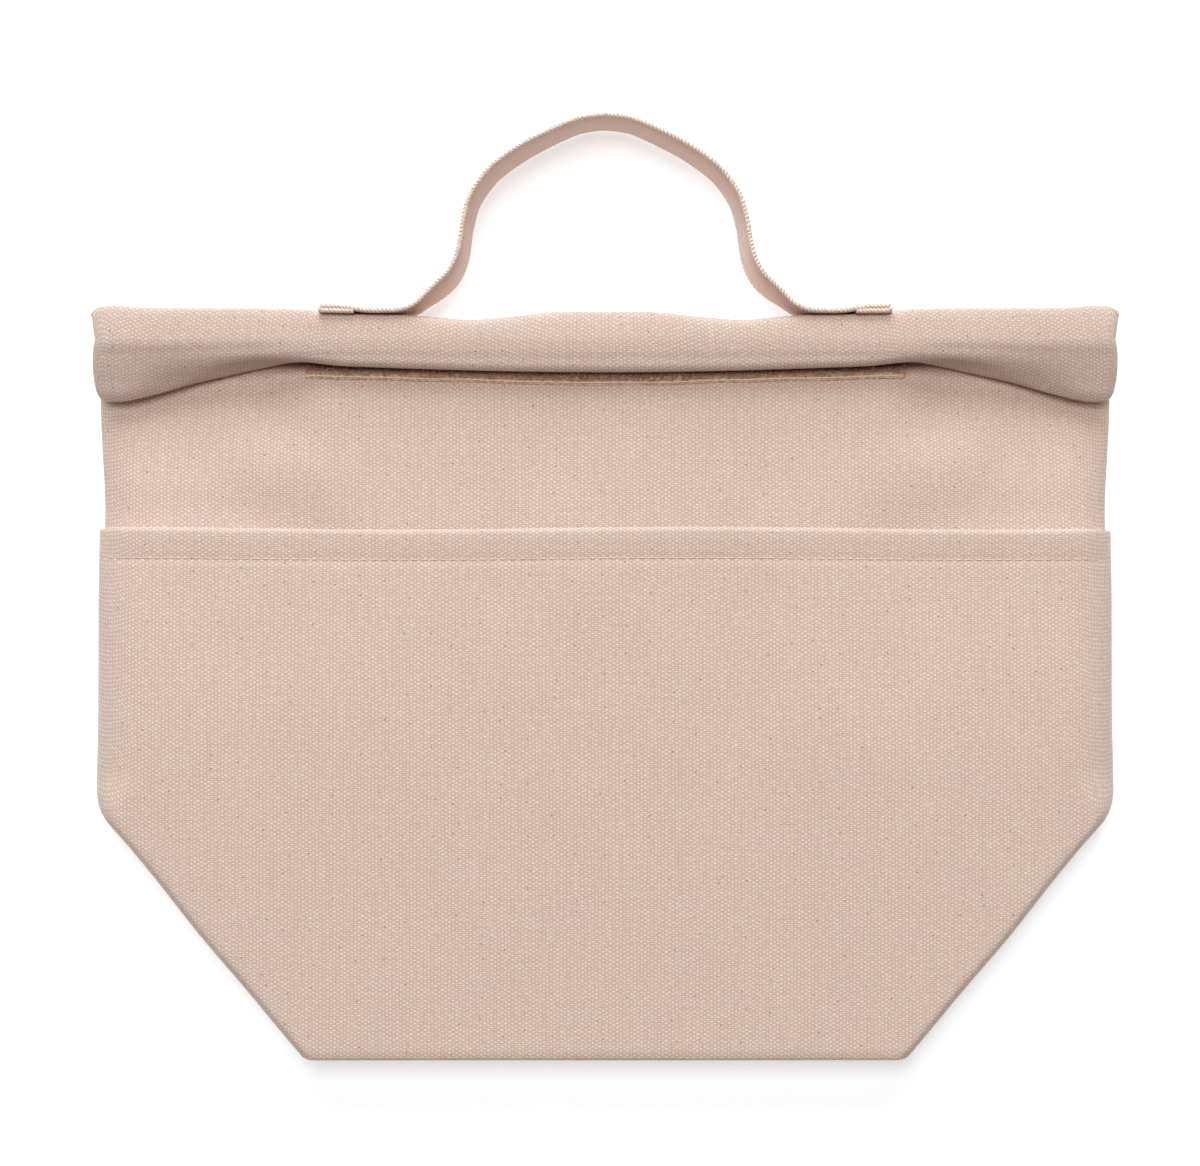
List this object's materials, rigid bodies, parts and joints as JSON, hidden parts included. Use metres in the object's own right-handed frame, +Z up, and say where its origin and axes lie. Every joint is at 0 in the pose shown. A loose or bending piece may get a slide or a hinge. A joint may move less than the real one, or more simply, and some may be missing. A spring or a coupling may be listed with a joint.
{
  "type": "cotton cooler bag",
  "caption": "Insulated cotton bag laid flat: mouth rolled over and held by hook and loop tape, full-width front pocket, base folded up behind and a webbing handle.",
  "frame": {"origin": "on the floor under the bag as it lies on its back, in the middle of the footprint that includes the handle", "axes": "+X across the bag to the right seen from the front, +Y from the bottom edge towards the rolled mouth and the handle, +Z up out of the front of the bag"},
  "size_m": [0.3436, 0.3154, 0.0254],
  "materials": {
    "canvas": "undyed plain-weave cotton canvas, matt, with seed flecks",
    "webbing": "woven cotton webbing, matt",
    "foam": "white closed-cell foam sheet",
    "lining": "silvered food-safe film, satin",
    "loop_tape": "brown looped pile tape",
    "hook_tape": "brown moulded hook tape",
    "binding": "cotton binding tape"
  },
  "bodies": {
    "bag": {"base_panel": "canvas", "back_panel": "canvas", "back_foam": "foam", "back_lining": "lining", "front_panel": "canvas", "front_foam": "foam", "front_lining": "lining", "pocket_panel": "canvas", "side_binding_left": "binding", "side_binding_right": "binding", "neck_back_wall": "canvas", "neck_front_wall": "canvas", "loop_tape": "loop_tape"},
    "ridge": {"ridge_back_wall": "canvas", "ridge_front_wall": "canvas", "handle_foot_left": "webbing", "handle_foot_right": "webbing"},
    "flap": {"flap_back_wall": "canvas", "flap_front_wall": "canvas"},
    "turn": {"turn_back_wall": "canvas", "turn_front_wall": "canvas"},
    "lip": {"lip_back_wall": "canvas", "lip_front_wall": "canvas", "hook_tape": "hook_tape"},
    "handle": {"handle_strap": "webbing"}
  },
  "joints": [
    {"name": "unroll", "type": "hinge", "parent": "bag", "child": "ridge", "pos_m": [0, 0.08785, 0.00325], "axis": [-1, 0, 0], "range_deg": [0, 90]},
    {"name": "flap_fold", "type": "hinge", "parent": "ridge", "child": "flap", "pos_m": [0, 0.08785, 0.01995], "axis": [-1, 0, 0], "range_deg": [0, 90]},
    {"name": "turn_fold", "type": "hinge", "parent": "flap", "child": "turn", "pos_m": [0, 0.07635, 0.01995], "axis": [-1, 0, 0], "range_deg": [0, 90]},
    {"name": "lip_fold", "type": "hinge", "parent": "turn", "child": "lip", "pos_m": [0, 0.07635, 0.01305], "axis": [-1, 0, 0], "range_deg": [0, 90]},
    {"name": "handle_swing", "type": "hinge", "parent": "ridge", "child": "handle", "pos_m": [0, 0.1091, 0.0129], "axis": [1, 0, 0], "range_deg": [-90, 90]}
  ],
  "couplings": [
    {"joint": "flap_fold", "follows": "unroll", "ratio": 1},
    {"joint": "turn_fold", "follows": "unroll", "ratio": 1},
    {"joint": "lip_fold", "follows": "unroll", "ratio": 1}
  ]
}
